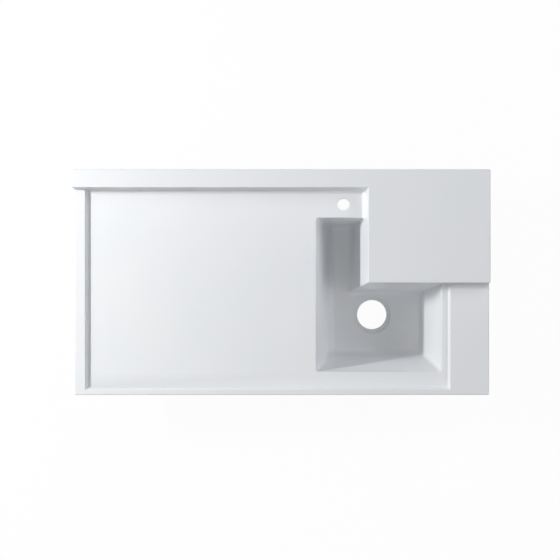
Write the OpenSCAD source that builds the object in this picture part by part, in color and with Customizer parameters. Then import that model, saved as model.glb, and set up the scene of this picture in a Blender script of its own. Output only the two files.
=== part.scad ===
// Laundry countertop with an L-shaped basin, fabricated from bonded solid-surface sheet.
// Z = 0 is the plane on which the top rests on its cabinet. X runs to the right, Y to the wall.

/* [Top] */
// Overall width
top_w = 1200; // [1150:5:1400]
// Overall depth, front edge to wall
top_d = 650; // [620:5:750]
// Thickness of the sheet that every white piece is cut from
sheet = 12; // [10:0.5:14]
// Height of the drop edges below the deck sheet
drop_h = 26; // [20:1:60]
// Radius of the upright outer corners
corner_r = 4; // [2:0.5:8]

/* [Raised rims] */
// Height of the rims above the deck
rim_h = 12; // [8:0.5:16]
// Flat width on top of the front rim
front_rim_w = 15; // [12:1:30]
// Flat width on top of the left rim
left_rim_w = 31; // [20:1:60]
// Flat width on top of the right rim
right_rim_w = 112; // [90:1:130]
// Width of the slope from each rim down to the deck
rim_slope = 7; // [5:0.5:12]

/* [Raised ledge and shelf] */
// Height of the ledge and the shelf above the deck
raise_h = 50; // [40:1:80]
// Depth of the ledge along the wall
ledge_d = 52; // [45:1:60]
// Width of the shelf over the rear right corner
shelf_w = 350; // [330:1:370]
// Depth of the shelf
shelf_d = 325; // [310:1:340]
// Lean of the shelf's left face, degrees from upright
side_draft = 10; // [4:0.5:12]
// Lean of the shelf's and the ledge's front faces, degrees from upright
face_draft = 6; // [3:0.5:8]
// Radius of the coved foot of the raised faces
cove_r = 12; // [6:0.5:14]

/* [Bowl] */
// Width of the bowl at deck level
bowl_w = 364; // [350:1:380]
// Depth from the deck to the bowl's floor
bowl_depth = 205; // [150:1:240]
// Deck strip between the bowl and the right rim's slope
right_strip = 18; // [10:1:25]
// Deck strip between the bowl and the front rim's slope
front_strip = 43; // [25:1:60]
// Distance from the ledge's front edge to the back of the bowl's arm
tap_strip = 85; // [80:1:100]
// Lean of the bowl's left wall, degrees from upright
left_draft = 10; // [5:0.5:12]
// Lean of the bowl's right wall, degrees from upright
right_draft = 11.5; // [5:0.5:13]
// Lean of the bowl's front wall, degrees from upright
front_draft = 11; // [4:0.5:12]
// Lean of the wall at the back of the bowl's arm, degrees from upright
back_draft = 5; // [2:0.5:8]
// Radius of the coves between the bowl's walls and its floor
bowl_cove_r = 18; // [8:0.5:20]

/* [Holes] */
// Radius of the tap hole
tap_r = 17.5; // [14:0.5:19]
// Tap hole centre behind the bowl's back edge
tap_back = 39; // [38:1:45]
// Tap hole centre to the right of the bowl's left edge
tap_across = 79; // [60:1:95]
// Radius of the waste hole
waste_r = 45; // [30:0.5:48]
// Radius of the waste hole's rebate
rebate_r = 57; // [50:0.5:60]
// Depth of the waste hole's rebate
rebate_h = 5; // [2:0.5:7]
// Waste centre to the right of the bowl's left edge
waste_across = 166; // [150:1:180]
// Waste centre in front of the shelf's front edge
waste_front = 101; // [90:1:120]
// Outer radius of the ring that backs the waste hole
ring_r = 72; // [64:1:75]
// Depth of the pad that backs the tap hole, front to back
pad_d = 60; // [50:1:66]
// Width of the pad that backs the tap hole
pad_w = 96; // [70:1:120]

/* [Support frame] */
// Width of the plywood battens
batten_w = 36; // [30:1:38]
// Number of battens across the wide deck
cross_battens = 3; // [1:1:5]
// Number of ribs in the shelf
shelf_ribs = 2; // [1:1:4]

/* [Hidden] */
$fn = 96;

// Levels
under_z = drop_h;
deck_z = under_z + sheet;
rim_z = deck_z + rim_h;
raised_z = deck_z + raise_h;
cap_z = raised_z - sheet;
floor_z = deck_z - bowl_depth;

// Plan of the outside, the shelf and the ledge, at the top of each face
left_x = -top_w / 2;
right_x = top_w / 2;
front_y = -top_d / 2;
wall_y = top_d / 2;
shelf_x = right_x - shelf_w;
shelf_y = wall_y - shelf_d;
ledge_y = wall_y - ledge_d;

// Plan of the bowl at deck level
bowl_right = right_x - right_rim_w - rim_slope - right_strip;
bowl_left = bowl_right - bowl_w;
bowl_front = front_y + front_rim_w + rim_slope + front_strip;
bowl_back = ledge_y - tap_strip;

tap = [bowl_left + tap_across, bowl_back + tap_back];
waste = [bowl_left + waste_across, shelf_y - waste_front];

// Where each leaning face stands at height z: "in" is the face seen, "out" the hidden one
function across(draft) = sheet / cos(draft);
left_in = function(z) bowl_left + (deck_z - z) * tan(left_draft);
left_out = function(z) left_in(z) - across(left_draft);
right_in = function(z) bowl_right - (deck_z - z) * tan(right_draft);
right_out = function(z) right_in(z) + across(right_draft);
front_in = function(z) bowl_front + (deck_z - z) * tan(front_draft);
front_out = function(z) front_in(z) - across(front_draft);
back_in = function(z) bowl_back - (deck_z - z) * tan(back_draft);
back_out = function(z) back_in(z) + across(back_draft);
side_in = function(z) shelf_x - (raised_z - z) * tan(side_draft);
side_out = function(z) side_in(z) + across(side_draft);
face_in = function(z) shelf_y - (raised_z - z) * tan(face_draft);
face_out = function(z) face_in(z) + across(face_draft);
ledge_in = function(z) ledge_y - (raised_z - z) * tan(face_draft);
ledge_out = function(z) ledge_in(z) + across(face_draft);
upright = function(at) function(z) at;

// How far a cove of radius r reaches from the foot of a face that leans by draft
function cove_reach(draft, r) = r / tan((90 + draft) / 2);
function foot_reach(draft) = cove_reach(draft, bowl_cove_r);

// Length that is longer than the whole top, for profiles that other pieces trim
long = 2 * (top_w + top_d);
// Overshoot of a cut beyond the face that it opens
cut = 1;

// A four-sided profile between two faces, from height z0 to height z1
function between(face_a, face_b, z0, z1) = [
    [face_a(z0), z0], [face_b(z0), z0], [face_b(z1), z1], [face_a(z1), z1]
];

// A profile drawn in X and Z, run along Y
module along_y() rotate([90, 0, 0]) linear_extrude(long, center = true) children();

// A profile drawn in Y and Z, run along X
module along_x() rotate([90, 0, 90]) linear_extrude(long, center = true) children();

// A piece of sheet between two faces across X and two faces across Y
module panel(x0, x1, y0, y1, z0, z1) {
    intersection() {
        along_y() polygon(between(x0, x1, z0, z1));
        along_x() polygon(between(y0, y1, z0, z1));
    }
}

// The outline of the whole top, with its rounded upright corners
module footprint(z0, z1) {
    translate([0, 0, z0]) linear_extrude(z1 - z0) {
        square([top_w - 2 * corner_r, top_d], center = true);
        square([top_w, top_d - 2 * corner_r], center = true);
        for (x = [-1, 1], y = [-1, 1])
            translate([x * (top_w / 2 - corner_r), y * (top_d / 2 - corner_r)]) circle(corner_r);
    }
}

// A box between two corners
module block(low, high) translate(low) cube(high - low);

// The hollow of the bowl between two heights
module bowl_hollow(z0, z1) {
    panel(left_in, right_in, front_in, face_in, z0, z1);
    panel(left_in, side_in, front_in, back_in, z0, z1);
}

// The concave fillet of radius r between a level face that runs to the left and a face that leans
// back by draft. A root reaches into the leaning face's sheet where the two are one piece.
module cove(draft, r, root = 0) {
    reach = cove_reach(draft, r);
    difference() {
        polygon([
            [root, 0], [-reach, 0], [-reach, r],
            [reach * sin(draft), reach * cos(draft)], [reach * sin(draft) + root, reach * cos(draft)]
        ]);
        translate([-reach, r]) circle(r);
    }
}

module deck_sheet() {
    color("whitesmoke") difference() {
        footprint(under_z, deck_z);
        bowl_hollow(under_z - cut, deck_z + cut);
        translate([tap.x, tap.y, under_z - cut]) cylinder(h = sheet + 2 * cut, r = tap_r);
    }
}

module front_rim_body() {
    along_x() polygon([
        [front_y, deck_z], [front_y + front_rim_w + rim_slope, deck_z],
        [front_y + front_rim_w, rim_z], [front_y, rim_z]
    ]);
}

module front_rim() {
    color("whitesmoke") intersection() {
        front_rim_body();
        footprint(deck_z, rim_z);
    }
}

module left_rim() {
    color("whitesmoke") difference() {
        intersection() {
            along_y() polygon([
                [left_x, deck_z], [left_x + left_rim_w + rim_slope, deck_z],
                [left_x + left_rim_w, rim_z], [left_x, rim_z]
            ]);
            footprint(deck_z, rim_z);
        }
        front_rim_body();
        ledge_foot();
        panel(upright(-long), upright(long), ledge_in, upright(long), deck_z - cut, rim_z + cut);
    }
}

module right_rim() {
    color("whitesmoke") difference() {
        intersection() {
            along_y() polygon([
                [right_x - right_rim_w - rim_slope, deck_z], [right_x, deck_z],
                [right_x, rim_z], [right_x - right_rim_w, rim_z]
            ]);
            footprint(deck_z, rim_z);
        }
        front_rim_body();
        panel(upright(-long), upright(long), face_in, upright(long), deck_z - cut, rim_z + cut);
    }
}

module ledge_foot() along_x() translate([ledge_in(deck_z), deck_z]) cove(face_draft, cove_r, sheet / 2);

// The shelf's coved foot, beside the deck only: the bowl's arm has none
module shelf_foot() {
    intersection() {
        along_y() translate([side_in(deck_z), deck_z]) cove(side_draft, cove_r, sheet / 2);
        panel(upright(-long), upright(long), upright(bowl_back), ledge_in, deck_z, cap_z);
    }
}

module ledge_face() {
    color("whitesmoke") difference() {
        union() {
            panel(upright(left_x), side_in, ledge_in, ledge_out, deck_z, cap_z);
            intersection() {
                ledge_foot();
                panel(upright(left_x), side_in, upright(-long), upright(long), deck_z, cap_z);
            }
        }
        shelf_foot();
    }
}

module ledge_end() {
    color("whitesmoke")
        panel(upright(left_x), upright(left_x + sheet), ledge_out, upright(wall_y - sheet), deck_z, cap_z);
}

module ledge_cap() {
    color("whitesmoke") intersection() {
        footprint(cap_z, raised_z);
        panel(upright(left_x), side_in, ledge_in, upright(wall_y), cap_z, raised_z);
    }
}

module back_strip() {
    color("whitesmoke") intersection() {
        footprint(deck_z, cap_z);
        block([left_x, wall_y - sheet, deck_z], [right_x, wall_y, cap_z]);
    }
}

module shelf_side_face() {
    color("whitesmoke") union() {
        panel(side_in, side_out, face_in, ledge_out, deck_z, cap_z);
        shelf_foot();
    }
}

module shelf_front_face() {
    color("whitesmoke") panel(side_out, upright(right_x), face_in, face_out, deck_z, cap_z);
}

module shelf_right_face() {
    color("whitesmoke")
        panel(upright(right_x - sheet), upright(right_x), face_out, upright(wall_y - sheet), deck_z, cap_z);
}

module shelf_rib(n) {
    step = (shelf_w - sheet) / (shelf_ribs + 1);
    at = right_x - sheet - n * step;
    color("gainsboro")
        panel(upright(at), upright(at + sheet), face_out, upright(wall_y - sheet), deck_z, cap_z);
}

module shelf_top() {
    color("whitesmoke") intersection() {
        footprint(cap_z, raised_z);
        panel(side_in, upright(right_x), face_in, upright(wall_y), cap_z, raised_z);
    }
}

// A strip under the edge of the deck, from corner to corner of a box, in the top's outline
module drop_edge(low, high) {
    color("white") intersection() {
        footprint(0, under_z);
        block([low.x, low.y, 0], [high.x, high.y, under_z]);
    }
}

module front_drop_edge() drop_edge([left_x, front_y], [right_x, front_y + sheet]);
module rear_drop_edge() drop_edge([left_x, wall_y - sheet], [right_x, wall_y]);
module left_drop_edge() drop_edge([left_x, front_y + sheet], [left_x + sheet, wall_y - sheet]);
module right_drop_edge() drop_edge([right_x - sheet, front_y + sheet], [right_x, wall_y - sheet]);

module bowl_left_wall() {
    color("white") panel(left_out, left_in, front_out, back_out, floor_z, under_z);
}

module bowl_front_wall() {
    color("white") panel(left_in, right_in, front_out, front_in, floor_z, under_z);
}

module bowl_right_wall() {
    color("white") panel(right_in, right_out, front_out, face_out, floor_z, under_z);
}

module bowl_rear_wall() {
    color("white") panel(side_out, right_in, face_in, face_out, floor_z, under_z);
}

module bowl_side_wall() {
    color("white") panel(side_in, side_out, face_in, back_out, floor_z, under_z);
}

module bowl_back_wall() {
    color("white") panel(left_in, side_in, back_in, back_out, floor_z, under_z);
}

// A corner of the bowl's foot in plan, and the way its two coves reach from it over the floor
function foot(face_x, face_y, reach_x, reach_y) = [[face_x(floor_z), face_y(floor_z)], [reach_x, reach_y]];
foot_front_left = foot(left_in, front_in, foot_reach(left_draft), foot_reach(front_draft));
foot_front_right = foot(right_in, front_in, -foot_reach(right_draft), foot_reach(front_draft));
foot_rear_right = foot(right_in, face_in, -foot_reach(right_draft), -foot_reach(face_draft));
foot_rear_side = foot(side_in, face_in, -foot_reach(side_draft), -foot_reach(face_draft));
foot_back_side = foot(side_in, back_in, -foot_reach(side_draft), -foot_reach(back_draft));
foot_back_left = foot(left_in, back_in, foot_reach(left_draft), -foot_reach(back_draft));

// How far a mitre is cut past its corner, both ways, in reaches of the coves that meet there
mitre_past = 1.5;

// A coved strip along one wall's foot, mitred at both corners and trimmed by the walls it ends at
module coved_strip(from, to, x0, x1, y0, y1) {
    start = mitre_past * from[1];
    end = mitre_past * to[1];
    color("white") intersection() {
        children();
        panel(x0, x1, y0, y1, floor_z, under_z);
        translate([0, 0, floor_z]) linear_extrude(bowl_cove_r)
            polygon([from[0] - start, from[0] + start, to[0] + end, to[0] - end]);
    }
}

module bowl_left_cove() {
    coved_strip(foot_front_left, foot_back_left, upright(-long), upright(long), front_in, back_in)
        along_y() translate([left_in(floor_z), floor_z]) mirror([1, 0]) cove(left_draft, bowl_cove_r);
}

module bowl_front_cove() {
    coved_strip(foot_front_left, foot_front_right, left_in, right_in, upright(-long), upright(long))
        along_x() translate([front_in(floor_z), floor_z]) mirror([1, 0]) cove(front_draft, bowl_cove_r);
}

module bowl_right_cove() {
    coved_strip(foot_front_right, foot_rear_right, upright(-long), upright(long), front_in, face_in)
        along_y() translate([right_in(floor_z), floor_z]) cove(right_draft, bowl_cove_r);
}

module bowl_rear_cove() {
    coved_strip(foot_rear_side, foot_rear_right, upright(-long), right_in, upright(-long), upright(long))
        along_x() translate([face_in(floor_z), floor_z]) cove(face_draft, bowl_cove_r);
}

module bowl_side_cove() {
    coved_strip(foot_rear_side, foot_back_side, upright(-long), upright(long), upright(-long), back_in)
        along_y() translate([side_in(floor_z), floor_z]) cove(side_draft, bowl_cove_r);
}

module bowl_back_cove() {
    coved_strip(foot_back_side, foot_back_left, left_in, side_in, upright(-long), upright(long))
        along_x() translate([back_in(floor_z), floor_z]) cove(back_draft, bowl_cove_r);
}

module bowl_floor() {
    color("whitesmoke") difference() {
        translate([0, 0, floor_z - sheet]) linear_extrude(sheet) polygon([
            [left_out(floor_z), front_out(floor_z)], [right_out(floor_z), front_out(floor_z)],
            [right_out(floor_z), face_out(floor_z)], [side_out(floor_z), face_out(floor_z)],
            [side_out(floor_z), back_out(floor_z)], [left_out(floor_z), back_out(floor_z)]
        ]);
        translate([waste.x, waste.y, floor_z - sheet - cut]) cylinder(h = sheet + 2 * cut, r = waste_r);
        translate([waste.x, waste.y, floor_z - rebate_h]) cylinder(h = rebate_h + cut, r = rebate_r);
    }
}

module waste_ring() {
    color("gainsboro") translate([waste.x, waste.y, floor_z - 2 * sheet]) difference() {
        cylinder(h = sheet, r = ring_r);
        translate([0, 0, -cut]) cylinder(h = sheet + 2 * cut, r = waste_r);
    }
}

module tap_pad() {
    // The pad's front edge stands against the bowl's back wall
    pad_y = back_out(under_z);
    color("gainsboro") difference() {
        block([tap.x - pad_w / 2, pad_y, under_z - sheet], [tap.x + pad_w / 2, pad_y + pad_d, under_z]);
        translate([tap.x, tap.y, under_z - sheet - cut]) cylinder(h = sheet + 2 * cut, r = tap_r);
    }
}

// A plywood batten of the drop edges' height
module batten(low, high) color("burlywood") block([low.x, low.y, 0], [high.x, high.y, under_z]);

frame_left = left_x + sheet;
frame_right = right_x - sheet;
frame_front = front_y + sheet;
frame_rear = wall_y - sheet;

module front_batten() batten([frame_left, frame_front], [frame_right, frame_front + batten_w]);
module rear_batten() batten([frame_left, frame_rear - batten_w], [frame_right, frame_rear]);

// A batten from the front batten to the rear one, centred on x
module crosswise(x) {
    batten([x - batten_w / 2, frame_front + batten_w], [x + batten_w / 2, frame_rear - batten_w]);
}

left_batten_x = frame_left + batten_w / 2;
right_batten_x = frame_right - batten_w / 2;

module left_batten() crosswise(left_batten_x);
module right_batten() crosswise(right_batten_x);

// The battens under the wide deck, evenly spaced from the middle of the top to the left batten
module cross_batten(n) crosswise(left_batten_x * (n - 1) / cross_battens);

deck_sheet();
front_rim();
left_rim();
right_rim();
ledge_face();
ledge_end();
ledge_cap();
back_strip();
shelf_side_face();
shelf_front_face();
shelf_right_face();
for (n = [1:shelf_ribs])
    shelf_rib(n);
shelf_top();
front_drop_edge();
left_drop_edge();
right_drop_edge();
rear_drop_edge();
bowl_left_wall();
bowl_front_wall();
bowl_right_wall();
bowl_rear_wall();
bowl_side_wall();
bowl_back_wall();
bowl_left_cove();
bowl_front_cove();
bowl_right_cove();
bowl_rear_cove();
bowl_side_cove();
bowl_back_cove();
bowl_floor();
waste_ring();
tap_pad();
front_batten();
rear_batten();
left_batten();
right_batten();
for (n = [1:cross_battens])
    cross_batten(n);
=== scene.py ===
import math

import bpy
import numpy as np
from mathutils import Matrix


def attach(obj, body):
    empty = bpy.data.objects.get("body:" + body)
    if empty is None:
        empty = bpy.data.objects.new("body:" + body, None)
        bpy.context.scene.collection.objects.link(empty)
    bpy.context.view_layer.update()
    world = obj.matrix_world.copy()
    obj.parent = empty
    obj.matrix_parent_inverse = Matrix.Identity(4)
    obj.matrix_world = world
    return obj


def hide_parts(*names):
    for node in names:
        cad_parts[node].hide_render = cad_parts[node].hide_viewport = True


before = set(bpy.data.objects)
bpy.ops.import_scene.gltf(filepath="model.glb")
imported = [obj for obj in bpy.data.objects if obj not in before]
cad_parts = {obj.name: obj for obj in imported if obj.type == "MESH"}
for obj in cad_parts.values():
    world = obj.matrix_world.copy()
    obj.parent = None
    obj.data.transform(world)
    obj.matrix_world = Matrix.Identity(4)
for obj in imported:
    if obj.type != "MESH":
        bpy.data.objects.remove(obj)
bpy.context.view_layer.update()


# Deck sheet: the recessed deck, a 12 mm sheet of acrylic solid surface, cut out for the bowl and
# drilled for the tap. All white pieces are bonded with adhesive of their own colour and sanded
# flush as one body, so their visible faces are cut here from one skin, sized in mm as drawn.
MM = 0.001
SHEET = 12.0
UNDER_Z, DECK_Z, RIM_Z, CAP_Z, RAISED_Z, FLOOR_Z = 26.0, 38.0, 50.0, 76.0, 88.0, -167.0
LOWEST_Z, HIGHEST_Z = -200.0, 120.0
HALF_X, HALF_Y = 600.0, 325.0
LEFT_RIM_X, RIGHT_RIM_X, FRONT_RIM_Y, SLOPE_W = -569.0, 488.0, -310.0, 7.0
BOWL_LEFT_X, BOWL_RIGHT_X, BOWL_FRONT_Y, BOWL_BACK_Y = 99.0, 463.0, -260.0, 188.0
SHELF_X, SHELF_Y, LEDGE_Y = 250.0, 0.0, 273.0
LEANS = {"left": 10.0, "front": 11.0, "right": 11.5, "rear": 6.0, "side": 10.0, "back": 5.0}

# Radii of the upright corners, the worked edges, the coves and the filled inside corners
CORNER_R, UPRIGHT_R, EDGE_R, OUTER_R, RIM_EDGE_R = 4.0, 4.0, 1.6, 3.0, 0.6
COVE_R, FOOT_R, RUN_OUT_R, RIM_MITRE_R = 18.0, 12.0, 3.0, 2.0
CORNER_FILL_R, BACK_CORNER_R, RIGHT_CORNER_R = 9.0, 8.0, 4.0

# Each hole: its centre, its radius, and the half-width of the square of the plan left out for it
TAP, TAP_R, TAP_HALF = (178.0, 227.0), 17.5, 24.0
WASTE, WASTE_R, WASTE_HALF = (265.0, -101.0), 45.0, 61.0
HOLE_EDGE_R = 1.0


def lean(degrees):
    return math.tan(math.radians(degrees))


def leaning(at, level, degrees, way):
    """A leaning sheet: its seen face, its hidden face, and how much a level step foreshortens."""
    cosine = math.cos(math.radians(degrees))

    def seen(z):
        return at + way * (level - z) * lean(degrees)

    def hidden(z):
        return seen(z) - way * SHEET / cosine

    return seen, hidden, cosine


left_in, left_out, left_cos = leaning(BOWL_LEFT_X, DECK_Z, LEANS["left"], 1)
right_in, right_out, right_cos = leaning(BOWL_RIGHT_X, DECK_Z, LEANS["right"], -1)
front_in, front_out, front_cos = leaning(BOWL_FRONT_Y, DECK_Z, LEANS["front"], 1)
back_in, back_out, back_cos = leaning(BOWL_BACK_Y, DECK_Z, LEANS["back"], -1)
side_in, side_out, side_cos = leaning(SHELF_X, RAISED_Z, LEANS["side"], -1)
face_in, face_out, face_cos = leaning(SHELF_Y, RAISED_Z, LEANS["rear"], -1)
ledge_in, ledge_out, ledge_cos = leaning(LEDGE_Y, RAISED_Z, LEANS["rear"], -1)


def eased(a, b, r):
    """Two faces that meet in an outside edge, eased to radius r."""
    past = np.hypot(np.maximum(r + a, 0), np.maximum(r + b, 0))
    return np.minimum(-r, np.maximum(a, b)) + past


def coved(a, b, r):
    """Two faces that meet in an inside corner, coved to radius r."""
    short = np.hypot(np.maximum(r - a, 0), np.maximum(r - b, 0))
    return np.maximum(r, np.minimum(a, b)) - short


def foot_radius(x, z):
    """Cove where ledge and shelf meet the deck, the rims, the bowl's walls and its floor."""
    # On the deck it runs out to a small one at the left rim and beside the bowl's right edge
    on_deck = np.interp(x, [-566, -558, 430, 445], [RUN_OUT_R, FOOT_R, FOOT_R, RUN_OUT_R])
    # In the bowl it is the upright corner at the arm's back wall, and a smaller one at the right
    upright = np.interp(x, [300, 400], [BACK_CORNER_R, RIGHT_CORNER_R])
    deck_share = np.interp(z, [5, 30], [0, 1])
    floor_share = np.interp(z, [-150, -125], [1, 0])
    return on_deck * deck_share + COVE_R * floor_share + upright * (1 - deck_share - floor_share)


def outline(x, y):
    """Distance outside the top's outline with its rounded upright corners."""
    past_x, past_y = np.abs(x) - HALF_X + CORNER_R, np.abs(y) - HALF_Y + CORNER_R
    inside = np.minimum(np.maximum(past_x, past_y), 0)
    return np.hypot(np.maximum(past_x, 0), np.maximum(past_y, 0)) + inside - CORNER_R


def skin(x, y, z):
    """Below 0 inside the white body, above 0 outside, in millimetres from its sanded skin."""
    across = np.maximum((left_in(z) - x) * left_cos, (x - right_in(z)) * right_cos)
    along = np.maximum((front_in(z) - y) * front_cos, (y - back_in(z)) * back_cos)
    hollow = eased(eased(across, along, CORNER_FILL_R), FLOOR_Z - z, COVE_R)
    deck = eased(z - DECK_Z, -hollow, EDGE_R)
    rise = RIM_Z - DECK_Z
    steep = math.hypot(rise, SLOPE_W)
    sloped = (np.maximum(z, UNDER_Z) - RIM_Z) * SLOPE_W
    left = ((x - LEFT_RIM_X) * rise + sloped) / steep
    right = ((RIGHT_RIM_X - x) * rise + sloped) / steep
    front = ((y - FRONT_RIM_Y) * rise + sloped) / steep
    rims = eased(coved(np.minimum(left, right), front, RIM_MITRE_R), z - RIM_Z, RIM_EDGE_R)
    shelf = eased((side_in(z) - x) * side_cos, (face_in(z) - y) * face_cos, UPRIGHT_R)
    raised = coved(shelf, (ledge_in(z) - y) * ledge_cos, UPRIGHT_R)
    raised = eased(raised, z - RAISED_Z, EDGE_R)
    body = coved(coved(deck, rims, RIM_EDGE_R), raised, foot_radius(x, z))
    return eased(body, outline(x, y), OUTER_R)


def skin_height(x, y):
    """The level of the skin over a place in the plan, found by halving between two levels."""
    low, high = np.full_like(x, LOWEST_Z), np.full_like(x, HIGHEST_Z)
    for _ in range(40):
        middle = (low + high) / 2
        inside = skin(x, y, middle) < 1e-4
        low, high = np.where(inside, middle, low), np.where(inside, high, middle)
    return (low + high) / 2


def slope_of(field, *place):
    """The unit vector along which a field of distances grows."""
    step = 0.02
    rises = []
    for axis in range(len(place)):
        ahead, behind = list(place), list(place)
        ahead[axis], behind[axis] = place[axis] + step, place[axis] - step
        rises.append(field(*ahead) - field(*behind))
    slope = np.stack(rises + [np.zeros_like(place[0])] * (3 - len(rises)), axis=-1)
    return slope / np.maximum(np.linalg.norm(slope, axis=-1, keepdims=True), 1e-9)


def cut_lines(half, stations):
    """Lines of the skin's mesh, fine round the eased edges and coves and wide over each flat. A
    station is (first line, last line, spacing), and the outer edges' own lines are added."""
    turn = [half - OUTER_R * (1 - math.cos(math.radians(a))) for a in range(0, 91, 15)]
    turn += [half - CORNER_R, half - SHEET]
    lines = turn + [-v for v in turn]
    for start, end, spacing in stations:
        lines += list(np.linspace(start, end, max(1, round((end - start) / spacing)) + 1))
    return np.unique(np.round(lines, 3))


def at_rim(edge, way):
    """Stations over a rim's upper edge and the foot of its slope, which falls way points."""
    foot = edge + way * SLOPE_W
    return [(*sorted((edge - way, edge + 0.6 * way)), 0.32),
            (*sorted((foot - 0.4 * way, foot + 0.8 * way)), 0.3)]


def at_lip(edge, way):
    """The station over an edge of the deck's cut-out, beyond which the bowl lies way points."""
    return [(*sorted((edge - 1.8 * way, edge + way)), 0.56)]


def at_levels(face, *levels):
    """Single lines where a leaning face crosses given levels."""
    return [(face(z), face(z), 1) for z in levels]


xs = cut_lines(
    HALF_X,
    at_rim(LEFT_RIM_X, 1) + at_lip(BOWL_LEFT_X, 1) + at_lip(BOWL_RIGHT_X, -1)
    + at_rim(RIGHT_RIM_X, -1)
    + [(TAP[0] - TAP_HALF, TAP[0] + TAP_HALF, 6),
       (WASTE[0] - WASTE_HALF, WASTE[0] + WASTE_HALF, 10),
       (left_in(UNDER_Z), 150.2, 1.8), (189.9, 247, 1.8), (247.5, 252, 0.5),
       (405, right_in(UNDER_Z), 1.8)]
    + at_levels(left_out, FLOOR_Z) + at_levels(right_out, FLOOR_Z)
    + at_levels(side_in, UNDER_Z, DECK_Z, CAP_Z))
ys = cut_lines(
    HALF_Y,
    at_rim(FRONT_RIM_Y, 1) + at_lip(BOWL_FRONT_Y, 1) + at_lip(BOWL_BACK_Y, -1)
    + [(TAP[1] - TAP_HALF, TAP[1] + TAP_HALF, 6),
       (WASTE[1] - WASTE_HALF, WASTE[1] + WASTE_HALF, 10),
       (front_in(UNDER_Z), -204, 1.8), (-44, -7, 1.8), (-4.5, 2, 0.5),
       (150, back_in(UNDER_Z), 1.8), (255.3, 271, 0.9), (271, 275, 0.5)]
    + at_levels(front_out, FLOOR_Z) + at_levels(back_out, FLOOR_Z)
    + at_levels(face_in, UNDER_Z, DECK_Z, CAP_Z) + at_levels(face_out, DECK_Z)
    + at_levels(ledge_in, CAP_Z) + at_levels(ledge_out, DECK_Z))
plan_x, plan_y = (g.copy() for g in np.meshgrid(xs, ys, indexing="ij"))

# The square corners of the plan are drawn in to the rounded upright corners of the top
over_x, over_y = np.abs(plan_x) - HALF_X + CORNER_R, np.abs(plan_y) - HALF_Y + CORNER_R
at_corner = (over_x > 0) & (over_y > 0)
reach = np.maximum(np.hypot(over_x, over_y), 1e-9)
pull = np.where(at_corner, np.maximum(over_x, over_y) / reach, 1)
plan_x = np.where(at_corner, np.sign(plan_x) * (HALF_X - CORNER_R + over_x * pull), plan_x)
plan_y = np.where(at_corner, np.sign(plan_y) * (HALF_Y - CORNER_R + over_y * pull), plan_y)
plan_z = skin_height(plan_x, plan_y)
plan_n = slope_of(skin, plan_x, plan_y, plan_z)

# The middle of each cell of the plan, and the skin's level there, which is true to NEAR
NEAR, SLACK, SAME_PLACE, NO_AREA = 0.0005, 0.01, 0.001, 1e-6
mid_x, mid_y = ((g[1:, 1:] + g[:-1, 1:] + g[1:, :-1] + g[:-1, :-1]) / 4 for g in (plan_x, plan_y))
mid_z = skin_height(mid_x, mid_y)


def turned_edge(radius, level, r, side):
    """A hole's edge, turned to radius r, as (radius, level, outward, up): side is 1 where the level
    face meets the hole's wall below it in an edge, and -1 where it meets the wall above it in a
    cove."""
    turns = [(math.sin(math.radians(a)), math.cos(math.radians(a))) for a in range(0, 91, 15)]
    if side > 0:
        return [(radius + r - r * s, level - r + r * c, -s, c) for s, c in turns]
    return [(radius - r + r * c, level + r - r * s, -c, s) for s, c in turns]


def zipped(outer, inner, centre):
    """Triangles that fill the band between two rings of corners round one centre."""
    def by_angle(ring):
        return sorted((math.atan2(y - centre[1], x - centre[0]), k) for k, (x, y) in ring.items())

    a, b = by_angle(outer), by_angle(inner)
    faces, i, j = [], 0, 0
    while i < len(a) or j < len(b):
        if j == len(b) or (i < len(a) and a[i][0] < b[j][0]):
            faces.append((a[i - 1][1], a[i][1], b[j - 1][1]))
            i += 1
        else:
            faces.append((a[i - 1][1], b[j][1], b[j - 1][1]))
            j += 1
    return faces


def turned_hole(centre, profile, corners, lip, lip_under):
    """A hole turned to a profile: all corners with its rings added, and the quads of its wall and
    of the level bands that join it to its square's corners above and below."""
    count = 96
    t = 2 * math.pi * np.arange(count) / count
    rings, shades = [], []
    for radius, level, out, up in profile:
        rings.append(np.stack([centre[0] + radius * np.cos(t), centre[1] + radius * np.sin(t),
                               level + 0 * t], axis=1))
        shades.append(np.stack([out * np.cos(t), out * np.sin(t), up + 0 * t], axis=1))
    shades = np.concatenate(shades)
    first, last = len(corners), len(corners) + (len(profile) - 1) * count
    corners = np.concatenate([corners] + rings)
    quads = []
    for ring in range(len(profile) - 1):
        here = ring * count + np.arange(count)
        there = here + count
        band = np.stack([np.roll(here, 1), here, there, np.roll(there, 1)], axis=1)
        quads.append((band + first, shades[band]))
    for square, start, order, up in ((lip, first, [0, 1, 2, 2], 1.0),
                                     (lip_under, last, [2, 1, 0, 0], -1.0)):
        outer = {int(k): corners[k, :2] for k in square}
        inner = {start + k: corners[start + k, :2] for k in range(count)}
        fill = np.array(zipped(outer, inner, centre))[:, order]
        quads.append((fill, np.broadcast_to([0.0, 0.0, up], fill.shape + (3,))))
    return corners, quads


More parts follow.
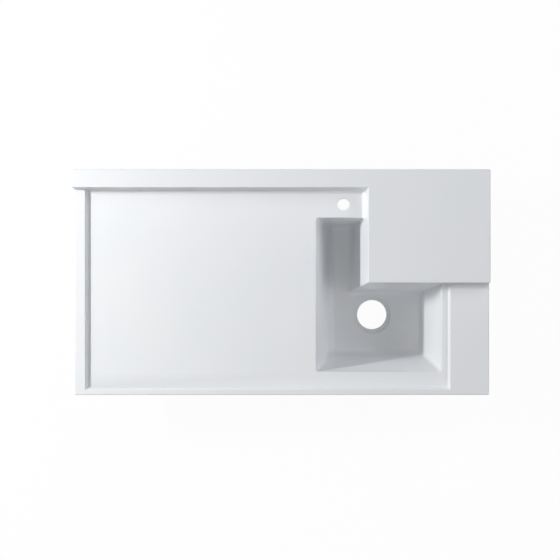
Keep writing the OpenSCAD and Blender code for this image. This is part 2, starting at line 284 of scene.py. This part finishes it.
def hand_over(name, corners, quads, finish):
    """Makes a piece's mesh of its shaded quads, less what has no area, and puts it in its place."""
    faces, normals = [], []
    for loops, shading in quads:
        p = corners[loops]
        facing = np.cross(p[:, 2] - p[:, 0], p[:, 3] - p[:, 1])
        area = np.linalg.norm(facing, axis=1)
        if shading is None:
            flat = (facing / np.maximum(area, 1e-12)[:, None])[:, None]
            shading = np.broadcast_to(flat, loops.shape + (3,))
        kept = loops != np.roll(loops, 1, axis=1)
        for n in np.nonzero((area > NO_AREA) & (kept.sum(axis=1) > 2))[0]:
            faces.append(loops[n][kept[n]].tolist())
            normals.extend(shading[n][kept[n]].tolist())
    present = np.unique(np.concatenate(faces))
    place = np.zeros(len(corners), int)
    place[present] = np.arange(len(present))
    mesh = bpy.data.meshes.new(name)
    mesh.from_pydata((corners[present] * MM).tolist(), [], [place[f].tolist() for f in faces])
    mesh.polygons.foreach_set("use_smooth", [True] * len(mesh.polygons))
    mesh.normals_split_custom_set(normals)
    mesh.materials.append(finish)
    piece = bpy.data.objects.new(name + "_finished", mesh)
    bpy.context.scene.collection.objects.link(piece)
    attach(piece, "root")
    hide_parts(name)


def corners_of(cells):
    """The corners of the plan that belong to any of the given cells."""
    touched = np.zeros(plan_x.shape, bool)
    for i in (0, 1):
        for j in (0, 1):
            touched[i:i + cells.shape[0], j:j + cells.shape[1]] |= cells
    return touched


def cut_piece(name, cells, under, finish, top=None, hole=None, under_normal=None):
    """A closed piece of the body: the skin over its cells, and under it the corners that under()
    gives. Where it runs on under another piece it is cut flat at the level top. A hole is
    (centre, half-width of the square left out for it, turned profile)."""
    height = plan_z
    if top is not None:
        seen = corners_of(cells & (mid_z < top + NEAR))
        height = np.where(seen, plan_z, np.minimum(plan_z, top))
    if hole is not None:
        centre, half, profile = hole
        cells = cells & ~((np.abs(mid_x - centre[0]) < half) & (np.abs(mid_y - centre[1]) < half))
    used = corners_of(cells)
    index = np.cumsum(used).reshape(used.shape) - 1
    upper = np.stack([plan_x[used], plan_y[used], height[used]], axis=-1)
    lower = np.stack(np.broadcast_arrays(*under(*upper.T)), axis=-1)
    cut_flat = (plan_z[used] > height[used] + SLACK)[:, None]
    upper_n = np.where(cut_flat, [[0.0, 0.0, 1.0]], plan_n[used])
    outer_n = slope_of(outline, upper[:, 0], upper[:, 1])
    at_outline = outline(upper[:, 0], upper[:, 1]) > -SLACK
    count = len(upper)
    below = np.arange(count) + count * (np.linalg.norm(upper - lower, axis=-1) > SAME_PLACE)
    corners = np.concatenate([upper, lower])

    a, b = index[:-1, :-1][cells], index[1:, :-1][cells]
    c, d = index[1:, 1:][cells], index[:-1, 1:][cells]
    tops = np.stack([a, b, c, d], axis=1)
    undersides = tops[:, ::-1]
    padded = np.pad(cells, 1)
    edges = np.concatenate([
        np.stack([start, end], axis=1)[~beyond[cells]] for start, end, beyond in (
            (a, b, padded[1:-1, :-2]), (b, c, padded[2:, 1:-1]),
            (c, d, padded[1:-1, 2:]), (d, a, padded[:-2, 1:-1]))])
    if hole is not None:
        at_hole = (np.abs(upper[edges].mean(axis=1)[:, :2] - centre) < half + 1).all(axis=1)
        lip = np.unique(edges[at_hole])
        edges = edges[~at_hole]
    sides = np.stack([edges[:, 0], below[edges[:, 0]], below[edges[:, 1]], edges[:, 1]], axis=1)
    on_outline = at_outline[edges].all(axis=1)
    lower_n = None if under_normal is None else under_normal(*lower.T)[undersides]
    quads = [(tops, upper_n[tops]), (below[undersides], lower_n),
             (sides[on_outline], outer_n[edges[on_outline]][:, [0, 0, 1, 1]]),
             (sides[~on_outline], None)]
    if hole is not None:
        corners, more = turned_hole(centre, profile, corners, lip, below[lip])
        quads += more
    hand_over(name, corners, quads, finish)


def from_hex(colour):
    """An sRGB hex colour as a linear RGBA colour."""
    parts = [int(colour[i:i + 2], 16) / 255 for i in (1, 3, 5)]
    return [c / 12.92 if c <= 0.04045 else ((c + 0.055) / 1.055) ** 2.4 for c in parts] + [1.0]


def add_node(tree, kind, links=(), values=(), **settings):
    """One node with its settings, its input values and the sockets that feed it."""
    node = tree.nodes.new(kind)
    for key, value in settings.items():
        setattr(node, key, value)
    for key, value in values:
        node.inputs[key].default_value = value
    for key, source in links:
        tree.links.new(source, node.inputs[key])
    return node


def new_finish(name):
    finish = bpy.data.materials.new(name)
    finish.use_nodes = True
    finish.node_tree.nodes.clear()
    return finish, finish.node_tree


def set_stops(ramp, *stops):
    for stop, (position, colour) in zip(ramp.color_ramp.elements, stops):
        stop.position, stop.color = position, from_hex(colour)


def add_noise(tree, place, size, detail):
    """Noise with features of a size given in millimetres."""
    return add_node(tree, "ShaderNodeTexNoise", [("Vector", place)],
                    [("Scale", 1 / (size * MM)), ("Detail", detail)])


# Satin acrylic solid surface: an even cool white with a soft sheen and, close up, fine mineral
# filler and the faint clouding of the cast sheet. The filler is drawn at 1.2 mm to show at all.
FILLER, CLOUD, HAZE = 1.2, 180, 9
satin_sheet, tree = new_finish("satin_sanded_acrylic_solid_surface")
place = add_node(tree, "ShaderNodeTexCoord").outputs["Object"]
filler = add_noise(tree, place, FILLER, 3.0)
cloud = add_noise(tree, place, CLOUD, 2.0)
haze = add_noise(tree, place, HAZE, 5.0)
speckle = add_node(tree, "ShaderNodeMath", [(0, filler.outputs["Fac"]), (1, cloud.outputs["Fac"])],
                   operation="ADD")
halved = add_node(tree, "ShaderNodeMath", [(0, speckle.outputs[0])], [(1, 0.5)],
                  operation="MULTIPLY")
tone = add_node(tree, "ShaderNodeValToRGB", [("Fac", halved.outputs[0])])
set_stops(tone, (0.35, "#EAECEE"), (0.65, "#EDEEF0"))
sheen = add_node(tree, "ShaderNodeMapRange", [("Value", haze.outputs["Fac"])],
                 [("From Min", 0.3), ("From Max", 0.7), ("To Min", 0.36), ("To Max", 0.44)])
relief = add_node(tree, "ShaderNodeBump", [("Height", filler.outputs["Fac"])],
                  [("Strength", 0.1), ("Distance", 0.05 * MM)])
white = add_node(tree, "ShaderNodeBsdfPrincipled",
                 [("Base Color", tone.outputs["Color"]), ("Roughness", sheen.outputs["Result"]),
                  ("Normal", relief.outputs["Normal"])], [("IOR", 1.49)])
add_node(tree, "ShaderNodeOutputMaterial", [("Surface", white.outputs["BSDF"])])

# The skin lies lower than the deck sheet in the bowl, and else only at the top's outer edges
border_x, border_y = np.abs(mid_x) > HALF_X - SHEET, np.abs(mid_y) > HALF_Y - SHEET
in_bowl = (mid_z < UNDER_Z) & ~border_x & ~border_y
tap_profile = turned_edge(TAP_R, DECK_Z, HOLE_EDGE_R, 1) + [(TAP_R, UNDER_Z, -1, 0)]
cut_piece("deck_sheet", ~in_bowl, lambda x, y, z: (x, y, np.minimum(z, UNDER_Z)), satin_sheet,
          top=DECK_Z, hole=(TAP, TAP_HALF, tap_profile))


# Raised rims: three strips of the same sheet, laid on the deck along its left, front and right
# edges. Their inner edges are planed to a steep slope, mitred at the corners, and crisply eased.
FOOT_FILL = 1.0
above_deck = mid_z >= DECK_Z + NEAR
on_front_rim = (mid_y < FRONT_RIM_Y + SLOPE_W + FOOT_FILL) & above_deck
beside = (mid_z < RIM_Z + NEAR) & above_deck & ~on_front_rim
on_left_rim = (mid_x < LEFT_RIM_X + SLOPE_W + FOOT_FILL) & beside
on_right_rim = (mid_x > RIGHT_RIM_X - SLOPE_W - FOOT_FILL) & beside

# The side rims run on under the faces of the ledge and the shelf, up to the strips behind these
under_ledge = (mid_x < LEFT_RIM_X) & (mid_z >= RIM_Z + NEAR) & (mid_y < ledge_out(DECK_Z))
under_shelf = (mid_x > RIGHT_RIM_X) & (mid_z >= RIM_Z + NEAR) & (mid_y < face_out(DECK_Z))
for name, cells in (("front_rim", on_front_rim), ("left_rim", on_left_rim | under_ledge),
                    ("right_rim", on_right_rim | under_shelf)):
    cut_piece(name, cells, lambda x, y, z: (x, y, np.minimum(z, DECK_Z)), satin_sheet,
              top=RIM_Z)


# Raised ledge and shelf: box sections built up from sheet. Leaning face strips stand on the deck
# with a coved foot, and caps close them. The shelf's faces run on down the bowl as one plane.
to_side = (side_in(mid_z) - mid_x) * side_cos
to_front = (face_in(mid_z) - mid_y) * face_cos
to_ledge = (ledge_in(mid_z) - mid_y) * ledge_cos
capped = mid_z > CAP_Z
flank = above_deck & ~capped & ~on_front_rim & ~on_left_rim & ~on_right_rim
of_ledge = flank & (to_ledge < np.maximum(to_side, to_front))
of_front = flank & ~of_ledge & (to_front > to_side)
LET_IN, LET_IN_OVER = 3, 8


def let_in(z):
    """The levels of a face strip's back, let in a little towards its foot."""
    return z - LET_IN * np.clip((RIM_Z + LET_IN_OVER - z) / LET_IN_OVER, 0, 1)


cut_piece("ledge_face", of_ledge, lambda x, y, z: (x, ledge_out(let_in(z)), let_in(z)),
          satin_sheet)
cut_piece("shelf_front_face", of_front,
          lambda x, y, z: (np.maximum(x, side_out(z)), face_out(let_in(z)), let_in(z)),
          satin_sheet)
cut_piece("shelf_side_face", flank & ~of_ledge & ~of_front,
          lambda x, y, z: (side_out(let_in(z)), np.maximum(y, face_out(z)), let_in(z)),
          satin_sheet)
for name, cells in (("ledge_cap", capped & (mid_x < side_in(CAP_Z))),
                    ("shelf_top", capped & (mid_x > side_in(CAP_Z)))):
    cut_piece(name, cells, lambda x, y, z: (x, y, np.minimum(z, CAP_Z)), satin_sheet)


# Bowl walls: six leaning walls of sheet, butted and bonded under the deck's cut-out. Their upright
# corners are filled with adhesive and sanded to small radii. The hidden faces are plain sheet.
COVE_CLEAR = 10


def spread(v, seen_from, seen_to, out_from, out_to):
    """Carries a wall's seen length, short of its filled corners, out to its hidden face's ends."""
    short = CORNER_FILL_R / 2
    share = np.clip((v - seen_from - short) / (seen_to - seen_from - 2 * short), 0, 1)
    return out_from + share * (out_to - out_from)


def hidden_level(z, foot):
    """Carries a wall's seen levels, which end at its coved strip, down to the floor behind it."""
    low = foot + COVE_CLEAR
    share = np.clip((z - low) / (UNDER_Z - low), 0, 1)
    return FLOOR_Z + share * (UNDER_Z - FLOOR_Z)


away = {
    "left": (mid_x - left_in(mid_z)) * left_cos,
    "front": (mid_y - front_in(mid_z)) * front_cos,
    "right": (right_in(mid_z) - mid_x) * right_cos,
    "rear": np.where(to_front > to_side, to_front, np.inf),
    "side": np.where(to_front > to_side, np.inf, to_side),
    "back": (back_in(mid_z) - mid_y) * back_cos,
}
walls = list(away)
nearest = np.argmin(np.stack([away[wall] for wall in walls]), axis=0)
cove_top = {wall: FLOOR_Z + COVE_R * math.cos(math.radians(a)) / lean((90 + a) / 2)
            for wall, a in LEANS.items()}
wall_backs = {
    "left": lambda x, y, z, low: (
        left_out(low), spread(y, front_in(z), back_in(z), front_out(low), back_out(low)), low),
    "front": lambda x, y, z, low: (
        spread(x, left_in(z), right_in(z), left_out(low), right_out(low)), front_out(low), low),
    "right": lambda x, y, z, low: (
        right_out(low), spread(y, front_in(z), face_in(z), front_out(low), face_out(low)), low),
    "rear": lambda x, y, z, low: (
        spread(x, side_out(z), right_in(z), side_out(low), right_out(low)), face_out(low), low),
    "side": lambda x, y, z, low: (
        side_out(low), spread(y, face_in(z), back_in(z), face_out(low), back_out(low)), low),
    "back": lambda x, y, z, low: (
        spread(x, left_in(z), side_in(z), left_out(low), side_out(low)), back_out(low), low),
}
for n, wall in enumerate(walls):
    cut_piece("bowl_" + wall + "_wall", in_bowl & (nearest == n) & (mid_z > cove_top[wall]),
              lambda x, y, z: wall_backs[wall](x, y, z, hidden_level(z, cove_top[wall])),
              satin_sheet)


# Coved strips: solid surface routed to an 18 mm hollow, bonded along the foot of each wall and
# mitred at the corners. They are sanded into walls and floor, so that the bowl wipes clean.
def corner_filled(x, y, z):
    """The corner behind a coved strip: the wall's plane above its foot, the floor inside it."""
    shelf = np.minimum(RAISED_Z + (x - side_in(RAISED_Z)) / lean(LEANS["side"]),
                       RAISED_Z + (y - face_in(RAISED_Z)) / lean(LEANS["rear"]))
    planes = [shelf, DECK_Z - (x - left_in(DECK_Z)) / lean(LEANS["left"]),
              DECK_Z + (x - right_in(DECK_Z)) / lean(LEANS["right"]),
              DECK_Z - (y - front_in(DECK_Z)) / lean(LEANS["front"]),
              DECK_Z + (y - back_in(DECK_Z)) / lean(LEANS["back"])]
    return x, y, np.minimum(z, np.maximum(np.max(planes, axis=0), FLOOR_Z))


for n, wall in enumerate(walls):
    at_foot = (mid_z <= cove_top[wall]) & (mid_z >= FLOOR_Z + NEAR)
    cut_piece("bowl_" + wall + "_cove", in_bowl & (nearest == n) & at_foot, corner_filled,
              satin_sheet)


# Bowl floor: one L of sheet that carries the walls. The waste hole is cut 90 mm wide, inside a
# rebate for the waste's flange, and both are eased with a router.
REBATE_R, REBATE_Z, REBATE_EDGE_R = 57.0, FLOOR_Z - 5.0, 0.8
waste_profile = (turned_edge(REBATE_R, FLOOR_Z, REBATE_EDGE_R, 1)
                 + turned_edge(REBATE_R, REBATE_Z, REBATE_EDGE_R, -1)
                 + turned_edge(WASTE_R, REBATE_Z, HOLE_EDGE_R, 1)
                 + [(WASTE_R, FLOOR_Z - SHEET, -1, 0)])
floor_cells = ((mid_x > left_out(FLOOR_Z)) & (mid_x < right_out(FLOOR_Z))
               & (mid_y > front_out(FLOOR_Z)) & (mid_y < back_out(FLOOR_Z))
               & ((mid_x < side_out(FLOOR_Z)) | (mid_y < face_out(FLOOR_Z))))
cut_piece("bowl_floor", floor_cells, lambda x, y, z: (x, y, z * 0 + FLOOR_Z - SHEET), satin_sheet,
          top=FLOOR_Z, hole=(WASTE, WASTE_HALF, waste_profile))


# Drop edges: strips of sheet under the deck's rim that thicken its edge to 38 mm. Their lower
# outer edge is eased with a router like the top one.
def drop_foot(x, y):
    """The level of the drop edges' eased lower side."""
    inside = np.maximum(OUTER_R + outline(x, y), 0)
    return OUTER_R - np.sqrt(np.maximum(OUTER_R ** 2 - inside ** 2, 0))


def drop_normal(x, y, z):
    """The way in which that lower side faces."""
    turn = np.clip((OUTER_R + outline(x, y)) / OUTER_R, 0, 1)[:, None]
    return slope_of(outline, x, y) * turn - np.sqrt(1 - turn ** 2) * np.array([[0.0, 0.0, 1.0]])


for name, cells in (("front_drop_edge", border_y & (mid_y < 0)),
                    ("rear_drop_edge", border_y & (mid_y > 0)),
                    ("left_drop_edge", border_x & ~border_y & (mid_x < 0)),
                    ("right_drop_edge", border_x & ~border_y & (mid_x > 0))):
    cut_piece(name, cells, lambda x, y, z: (x, y, drop_foot(x, y)), satin_sheet, top=UNDER_Z,
              under_normal=drop_normal)


# Ends and back of the raised part: plain strips of the same sheet that close the ledge and the
# shelf, bonded and sanded flush with the caps. Only their satin outer faces are seen.
for name in ("ledge_end", "back_strip", "shelf_right_face"):
    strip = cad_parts[name]
    strip.material_slots[0].link = "OBJECT"
    strip.material_slots[0].material = satin_sheet


# Sawn backing pieces: off-cuts of the sheet as ribs in the shelf, the ring round the waste hole
# and the pad under the tap. Nobody sees them in use, so they stay matt, with fine saw marks.
SAW_PITCH, DUST = 1.6, 14
sawn_sheet, tree = new_finish("sawn_acrylic_solid_surface")
place = add_node(tree, "ShaderNodeTexCoord").outputs["Object"]
marks = add_node(tree, "ShaderNodeTexWave", [("Vector", place)],
                 [("Scale", 2 * math.pi / (20 * SAW_PITCH * MM)), ("Distortion", 1.5),
                  ("Detail", 2.0)],
                 bands_direction="DIAGONAL")
dust = add_noise(tree, place, DUST, 6.0)
tone = add_node(tree, "ShaderNodeValToRGB", [("Fac", dust.outputs["Fac"])])
set_stops(tone, (0.35, "#DDDFE1"), (0.7, "#E6E8EA"))
relief = add_node(tree, "ShaderNodeBump", [("Height", marks.outputs["Fac"])],
                  [("Strength", 0.35), ("Distance", 0.1 * MM)])
sawn = add_node(tree, "ShaderNodeBsdfPrincipled",
                [("Base Color", tone.outputs["Color"]), ("Normal", relief.outputs["Normal"])],
                [("IOR", 1.49), ("Roughness", 0.72)])
add_node(tree, "ShaderNodeOutputMaterial", [("Surface", sawn.outputs["BSDF"])])


def dress_backing(names, finish, arris):
    """Gives hidden pieces their material and a sanded arris, in millimetres."""
    for name in names:
        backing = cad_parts[name]
        backing.material_slots[0].link = "OBJECT"
        backing.material_slots[0].material = finish
        sanded = backing.modifiers.new("sanded_arris", "BEVEL")
        sanded.width, sanded.segments, sanded.limit_method = arris * MM, 2, "ANGLE"


dress_backing(("shelf_rib_1", "shelf_rib_2", "waste_ring", "tap_pad"), sawn_sheet, 0.6)


# Plywood frame: battens of sealed birch plywood, glued under the deck, on which the top rests on
# its cabinet. The plies show as thin light and dark lines along every edge.
PLY = 1.5
birch_ply, tree = new_finish("sealed_birch_plywood")
place = add_node(tree, "ShaderNodeTexCoord").outputs["Object"]
spot = add_node(tree, "ShaderNodeSeparateXYZ", [("Vector", place)])
layer = add_node(tree, "ShaderNodeMath", [(0, spot.outputs["Z"])], [(1, 1 / (2 * PLY * MM))],
                 operation="MULTIPLY")
wrap = add_node(tree, "ShaderNodeMath", [(0, layer.outputs[0])], operation="FRACT")
stretch = add_node(tree, "ShaderNodeMapping", [("Vector", place)], [("Scale", (4.0, 90.0, 90.0))])
grain = add_node(tree, "ShaderNodeTexNoise", [("Vector", stretch.outputs["Vector"])],
                 [("Scale", 3.0), ("Detail", 6.0)])
mixed = add_node(tree, "ShaderNodeMath", [(0, wrap.outputs[0]), (1, grain.outputs["Fac"])],
                 operation="MULTIPLY")
tone = add_node(tree, "ShaderNodeValToRGB", [("Fac", mixed.outputs[0])])
set_stops(tone, (0.1, "#B98F60"), (0.42, "#E0C79E"))
relief = add_node(tree, "ShaderNodeBump", [("Height", grain.outputs["Fac"])],
                  [("Strength", 0.3), ("Distance", 0.1 * MM)])
wood = add_node(tree, "ShaderNodeBsdfPrincipled",
                [("Base Color", tone.outputs["Color"]), ("Normal", relief.outputs["Normal"])],
                [("Roughness", 0.5)])
add_node(tree, "ShaderNodeOutputMaterial", [("Surface", wood.outputs["BSDF"])])
dress_backing(("front_batten", "rear_batten", "left_batten", "right_batten", "cross_batten_1",
               "cross_batten_2", "cross_batten_3"), birch_ply, 0.8)


# Studio: the photograph looks straight down. A small strip of light at the left casts the shadows,
# wide soft ones at all sides and the room's walls fill them. The floor is white paper.
PICTURE_PX = 560
scene = bpy.context.scene
scene.view_settings.view_transform = "Standard"
camera = bpy.data.objects.new("camera", bpy.data.cameras.new("camera"))
camera.location = (0.1888, 0.0363, 3.63)
camera.data.sensor_width = 36.0
camera.data.lens = 79.59
camera.data.shift_x, camera.data.shift_y = -67 / PICTURE_PX, -10 / PICTURE_PX
camera.data.clip_end = 50
scene.collection.objects.link(camera)
scene.camera = camera


def studio_light(name, place, size, watts, colour):
    """A rectangular lamp that faces the top: its first size is level, its second one upright."""
    lamp = bpy.data.lights.new(name, "AREA")
    lamp.shape, lamp.size, lamp.size_y = "RECTANGLE", size[0], size[1]
    lamp.energy, lamp.color = watts, colour
    light = bpy.data.objects.new(name, lamp)
    light.location = place
    light.rotation_euler = (math.atan2(math.hypot(place[0], place[1]), place[2]), 0,
                            math.atan2(-place[0], place[1]) + math.pi)
    scene.collection.objects.link(light)


studio_light("key_strip", (-2.4, 0.6, 1.5), (0.5, 0.14), 62.0, (1.0, 1.0, 1.0))
studio_light("left_softbox", (-4.13, 0.0, 1.5), (2.2, 1.8), 36.0, (0.98, 1.0, 0.96))
studio_light("right_softbox", (3.6, 0.0, 2.52), (2.2, 1.8), 37.0, (1.0, 1.0, 1.05))
studio_light("rear_right_softbox", (2.55, 2.55, 2.52), (2.2, 1.8), 37.0, (0.95, 1.0, 1.03))
studio_light("front_softbox", (0.0, -3.37, 2.83), (2.2, 1.8), 13.0, (0.97, 1.0, 1.03))


def seen_directly(tree):
    """1 for what the camera, a glossy surface or a clear one shows, 0 for what lights the top."""
    ray = add_node(tree, "ShaderNodeLightPath")
    seen = ray.outputs["Is Camera Ray"]
    for output in ("Is Glossy Ray", "Is Transmission Ray"):
        seen = add_node(tree, "ShaderNodeMath", [(0, seen), (1, ray.outputs[output])],
                        operation="MAXIMUM").outputs[0]
    return seen


# The room's upper walls give soft light, and its ceiling a little. A height is an angle's sine.
WALL_FOOT, WALL_TOP = (0.59, 0.65), (0.83, 0.89)
WALL_GLOW, CEILING_GLOW = 0.36, 0.14
room = bpy.data.worlds.new("white_room")
scene.world = room
room.use_nodes = True
tree = room.node_tree
tree.nodes.clear()
way = add_node(tree, "ShaderNodeTexCoord").outputs["Generated"]
height = add_node(tree, "ShaderNodeSeparateXYZ", [("Vector", way)]).outputs["Z"]
above = add_node(tree, "ShaderNodeMapRange", [("Value", height)],
                 [("From Min", WALL_FOOT[0]), ("From Max", WALL_FOOT[1])])
fading = add_node(tree, "ShaderNodeMapRange", [("Value", height)],
                  [("From Min", WALL_TOP[0]), ("From Max", WALL_TOP[1]),
                   ("To Min", WALL_GLOW), ("To Max", CEILING_GLOW)])
on_wall = add_node(tree, "ShaderNodeMath",
                   [(0, above.outputs["Result"]), (1, fading.outputs["Result"])],
                   operation="MULTIPLY")
walls_light = add_node(tree, "ShaderNodeBackground", [("Strength", on_wall.outputs[0])],
                       [("Color", (1.0, 0.99, 0.98, 1.0))])
paper = add_node(tree, "ShaderNodeBackground",
                 values=[("Color", (1.0, 1.0, 1.0, 1.0)), ("Strength", 1.0)])
either = add_node(tree, "ShaderNodeMixShader",
                  [("Fac", seen_directly(tree)), (1, walls_light.outputs[0]),
                   (2, paper.outputs[0])])
add_node(tree, "ShaderNodeOutputWorld", [("Surface", either.outputs[0])])

# White paper that stays white and still takes a faint shadow
PAPER_Z, PAPER_HALF, PAPER_SHARE = -0.1915, 9.0, 0.96
backdrop, tree = new_finish("white_paper")
share = add_node(tree, "ShaderNodeMath", [(0, seen_directly(tree))], [(1, PAPER_SHARE)],
                 operation="MULTIPLY")
paper = add_node(tree, "ShaderNodeBsdfDiffuse", values=[("Color", (0.9, 0.9, 0.9, 1.0))])
glow = add_node(tree, "ShaderNodeEmission",
                values=[("Color", (1.0, 1.0, 1.0, 1.0)), ("Strength", 1.0)])
either = add_node(tree, "ShaderNodeMixShader",
                  [("Fac", share.outputs[0]), (1, paper.outputs[0]), (2, glow.outputs[0])])
add_node(tree, "ShaderNodeOutputMaterial", [("Surface", either.outputs[0])])
sheet_of_paper = bpy.data.meshes.new("paper")
sheet_of_paper.from_pydata([(x * PAPER_HALF, y * PAPER_HALF, PAPER_Z)
                            for x, y in ((-1, -1), (1, -1), (1, 1), (-1, 1))], [], [(0, 1, 2, 3)])
sheet_of_paper.materials.append(backdrop)
floor = bpy.data.objects.new("paper", sheet_of_paper)
scene.collection.objects.link(floor)
